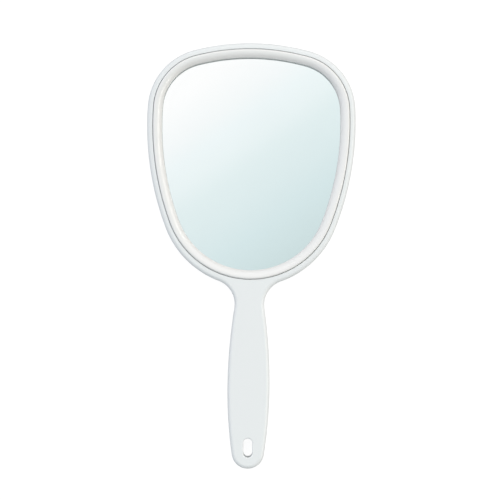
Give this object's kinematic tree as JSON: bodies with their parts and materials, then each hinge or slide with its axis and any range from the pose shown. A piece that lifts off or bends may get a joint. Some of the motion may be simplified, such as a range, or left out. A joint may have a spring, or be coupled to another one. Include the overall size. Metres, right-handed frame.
{
  "type": "hand mirror",
  "caption": "Salon hand mirror with a rounded trapezoid head, a snap-in bezel round the glass and a flat grip with a hanging slot.",
  "frame": {"origin": "on the surface that the back rests on, under the middle of the overall length and width", "axes": "+Z out of the glass towards the viewer, +Y along the handle towards the top of the head, +X to the right as seen by someone who looks into the glass"},
  "size_m": [0.147, 0.3, 0.0135],
  "materials": {
    "white_frame_plastic": "moulded, glossy",
    "white_bezel_plastic": "moulded, polished",
    "silvered_glass": "silvered on the back, ground edge",
    "backing_film": "matt film",
    "foam": "closed-cell foam sheet",
    "zinc_plated_steel": "zinc plated",
    "white_plug_plastic": "moulded, glossy"
  },
  "bodies": {
    "root": {"front_frame": "white_frame_plastic", "rear_shell": "white_frame_plastic", "bezel_ring": "white_bezel_plastic", "mirror_glass": "silvered_glass", "safety_film": "backing_film", "foam_pad": "foam", "handle_screw_1": "zinc_plated_steel", "handle_screw_2": "zinc_plated_steel", "handle_screw_3": "zinc_plated_steel", "screw_plug_1": "white_plug_plastic", "screw_plug_2": "white_plug_plastic", "screw_plug_3": "white_plug_plastic"}
  },
  "joints": []
}
